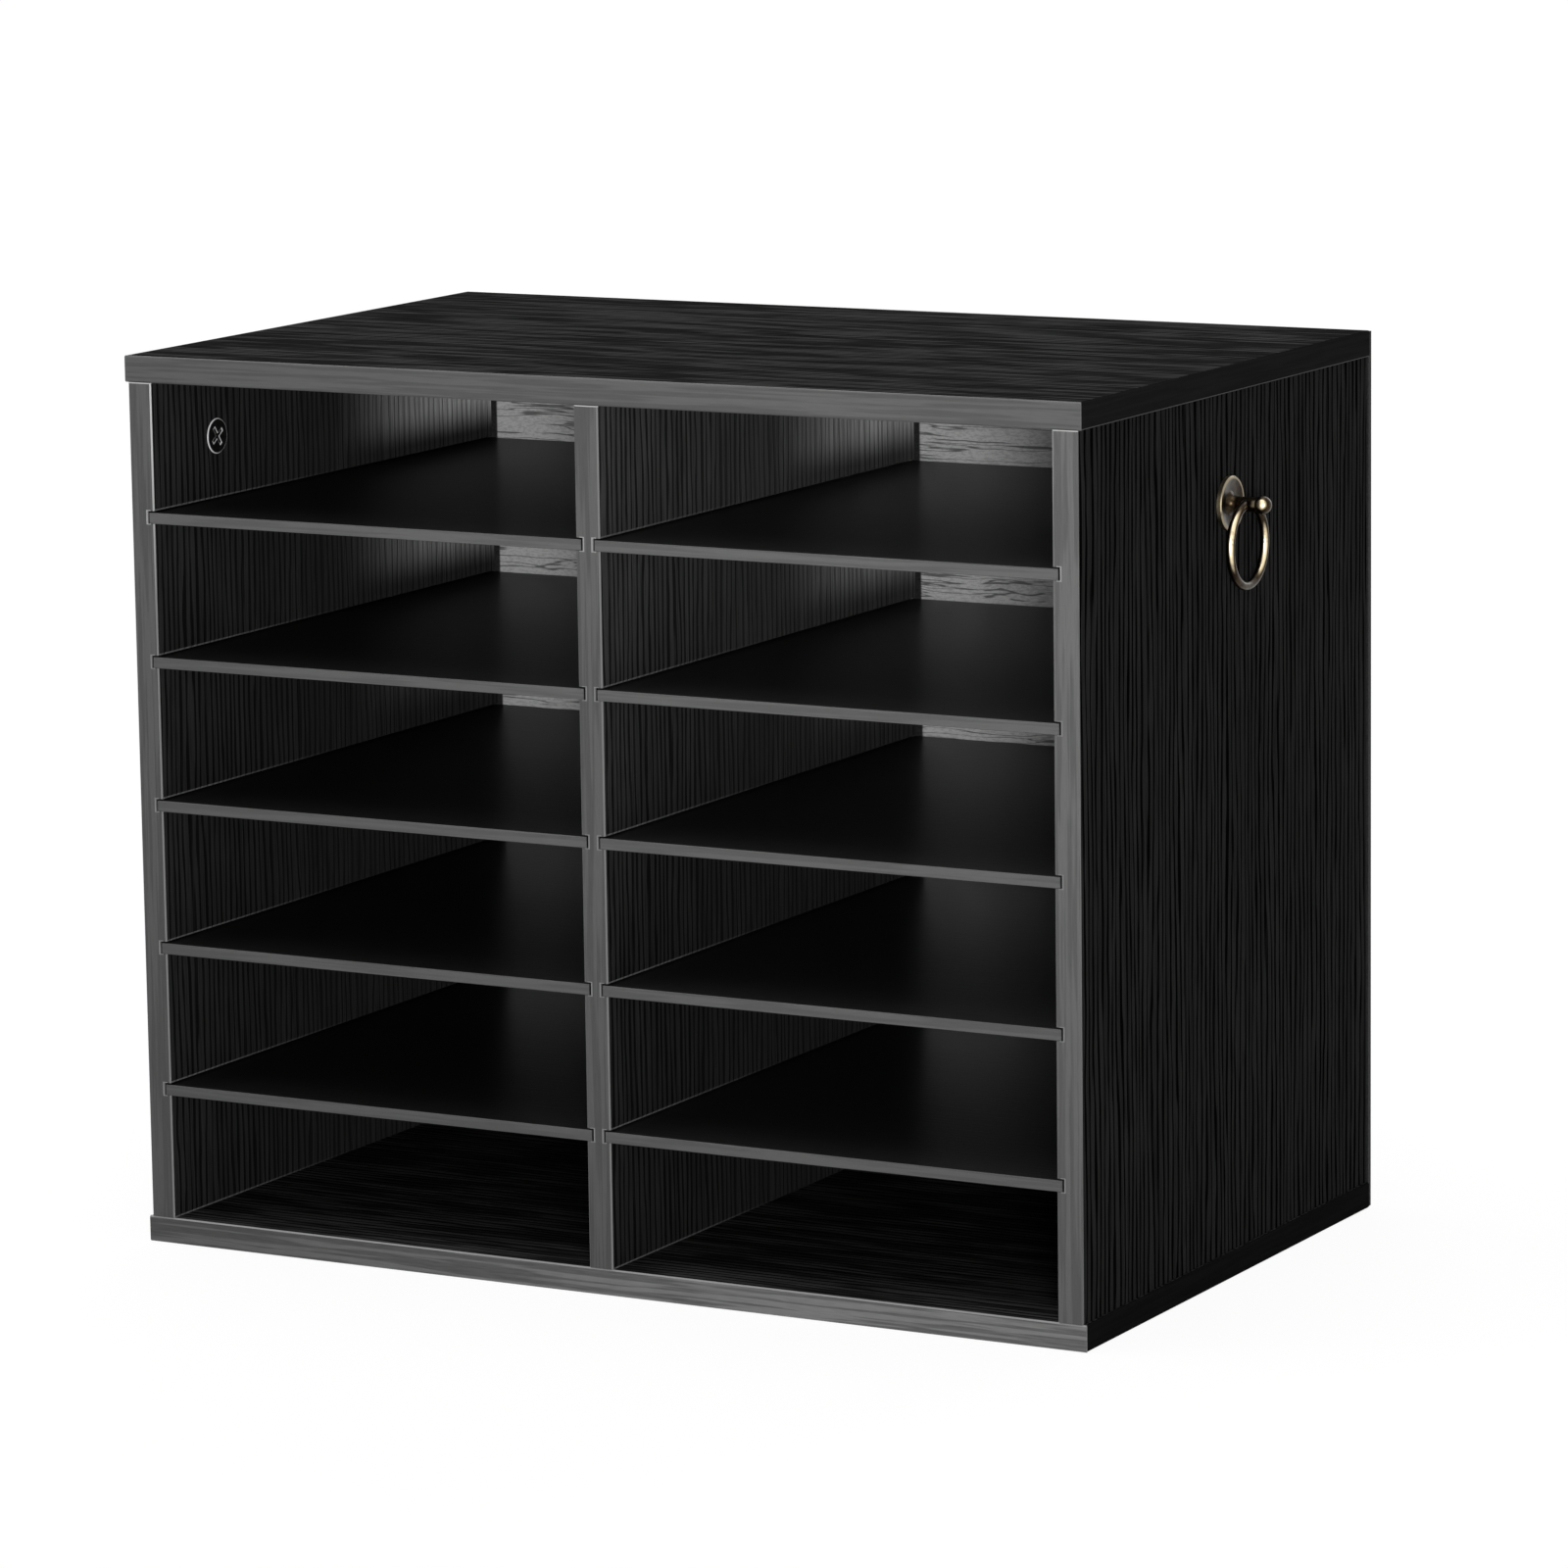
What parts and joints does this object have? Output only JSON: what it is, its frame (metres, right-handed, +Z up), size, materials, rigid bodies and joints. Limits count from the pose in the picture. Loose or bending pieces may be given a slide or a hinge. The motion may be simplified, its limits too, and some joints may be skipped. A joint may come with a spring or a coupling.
{
  "type": "mail sorter",
  "caption": "Free-standing board mail sorter with side-by-side columns of open pigeonholes, thin shelves that slide in saw-cut grooves, and hanging ring pulls at the sides.",
  "frame": {"origin": "middle of the cabinet's footprint, on the surface that it stands on", "axes": "+X to the right seen from the open front, +Y to the back, +Z up"},
  "size_m": [0.5182, 0.302, 0.41],
  "materials": {
    "black_board": "black woodgrain laminate on particle board, satin, with fine open pores",
    "edge_band": "dark grey edge band, satin, faint grain, bright bevelled corners",
    "back_sheet": "dark grey printed hardboard with a wavy level grain, satin",
    "shelf_board": "black laminated thin board, satin, faint grain",
    "shelf_band": "dark grey thin edge band, satin",
    "zinc_fitting": "dull zinc casting",
    "dowel_wood": "plain beech",
    "steel_screw": "dark zinc-plated steel",
    "antique_brass": "antique brass, darkened in the hollows and rubbed bright on the edges"
  },
  "bodies": {
    "cabinet": {"bottom_panel": "black_board", "top_panel": "black_board", "left_side_panel": "black_board", "right_side_panel": "black_board", "centre_divider": "black_board", "back_panel": "back_sheet", "bottom_front_band": "edge_band", "bottom_left_end_band": "edge_band", "bottom_right_end_band": "edge_band", "top_front_band": "edge_band", "top_left_end_band": "edge_band", "top_right_end_band": "edge_band", "left_side_band": "edge_band", "right_side_band": "edge_band", "divider_band": "edge_band", "cam_locks": "zinc_fitting", "cam_bolts": "zinc_fitting", "wooden_dowels": "dowel_wood", "carcass_screws": "steel_screw", "left_pull_rosette": "antique_brass", "left_pull_post": "antique_brass", "right_pull_rosette": "antique_brass", "right_pull_post": "antique_brass"},
    "left_shelf_1": {"left_shelf_1": "shelf_board", "left_shelf_band_1": "shelf_band"},
    "left_shelf_2": {"left_shelf_2": "shelf_board", "left_shelf_band_2": "shelf_band"},
    "left_shelf_3": {"left_shelf_3": "shelf_board", "left_shelf_band_3": "shelf_band"},
    "left_shelf_4": {"left_shelf_4": "shelf_board", "left_shelf_band_4": "shelf_band"},
    "left_shelf_5": {"left_shelf_5": "shelf_board", "left_shelf_band_5": "shelf_band"},
    "right_shelf_1": {"right_shelf_1": "shelf_board", "right_shelf_band_1": "shelf_band"},
    "right_shelf_2": {"right_shelf_2": "shelf_board", "right_shelf_band_2": "shelf_band"},
    "right_shelf_3": {"right_shelf_3": "shelf_board", "right_shelf_band_3": "shelf_band"},
    "right_shelf_4": {"right_shelf_4": "shelf_board", "right_shelf_band_4": "shelf_band"},
    "right_shelf_5": {"right_shelf_5": "shelf_board", "right_shelf_band_5": "shelf_band"},
    "left_ring": {"left_pull_ring": "antique_brass"},
    "right_ring": {"right_pull_ring": "antique_brass"}
  },
  "joints": [
    {"name": "left_shelf_1_slide", "type": "slide", "parent": "cabinet", "child": "left_shelf_1", "axis": [0, -1, 0], "range_m": [0, 0.3]},
    {"name": "left_shelf_2_slide", "type": "slide", "parent": "cabinet", "child": "left_shelf_2", "axis": [0, -1, 0], "range_m": [0, 0.3]},
    {"name": "left_shelf_3_slide", "type": "slide", "parent": "cabinet", "child": "left_shelf_3", "axis": [0, -1, 0], "range_m": [0, 0.3]},
    {"name": "left_shelf_4_slide", "type": "slide", "parent": "cabinet", "child": "left_shelf_4", "axis": [0, -1, 0], "range_m": [0, 0.3]},
    {"name": "left_shelf_5_slide", "type": "slide", "parent": "cabinet", "child": "left_shelf_5", "axis": [0, -1, 0], "range_m": [0, 0.3]},
    {"name": "right_shelf_1_slide", "type": "slide", "parent": "cabinet", "child": "right_shelf_1", "axis": [0, -1, 0], "range_m": [0, 0.3]},
    {"name": "right_shelf_2_slide", "type": "slide", "parent": "cabinet", "child": "right_shelf_2", "axis": [0, -1, 0], "range_m": [0, 0.3]},
    {"name": "right_shelf_3_slide", "type": "slide", "parent": "cabinet", "child": "right_shelf_3", "axis": [0, -1, 0], "range_m": [0, 0.3]},
    {"name": "right_shelf_4_slide", "type": "slide", "parent": "cabinet", "child": "right_shelf_4", "axis": [0, -1, 0], "range_m": [0, 0.3]},
    {"name": "right_shelf_5_slide", "type": "slide", "parent": "cabinet", "child": "right_shelf_5", "axis": [0, -1, 0], "range_m": [0, 0.3]},
    {"name": "left_ring_swing", "type": "hinge", "parent": "cabinet", "child": "left_ring", "pos_m": [-0.2478, -0.0015, 0.349], "axis": [0, 1, 0], "range_deg": [-11, 191]},
    {"name": "right_ring_swing", "type": "hinge", "parent": "cabinet", "child": "right_ring", "pos_m": [0.2478, -0.0015, 0.349], "axis": [0, -1, 0], "range_deg": [-11, 191]}
  ]
}
